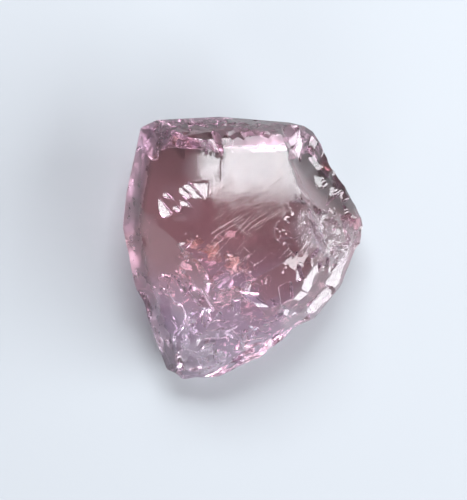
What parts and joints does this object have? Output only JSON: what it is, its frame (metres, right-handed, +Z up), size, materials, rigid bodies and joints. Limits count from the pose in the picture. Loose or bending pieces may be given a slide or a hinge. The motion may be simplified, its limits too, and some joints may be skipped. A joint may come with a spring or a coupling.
{
  "type": "raw pink amethyst",
  "caption": "Rough, broken chunk of pale pink amethyst, clear with a frosted natural face, shell-shaped fractures, stepped ledges and a blunt tip. Lies on its broad flat face.",
  "frame": {"origin": "on the resting face, below the middle of the box round the stone", "axes": "+Z up from the resting face; +Y towards the stone's flat end, away from its tip; +X to the right when it is seen from above with the flat end up"},
  "size_m": [0.0314, 0.0344, 0.0187],
  "materials": {
    "pink_quartz": "clear natural quartz, glossy on its fractures and frosted on its natural face"
  },
  "bodies": {
    "root": {"amethyst": "pink_quartz"}
  },
  "joints": []
}
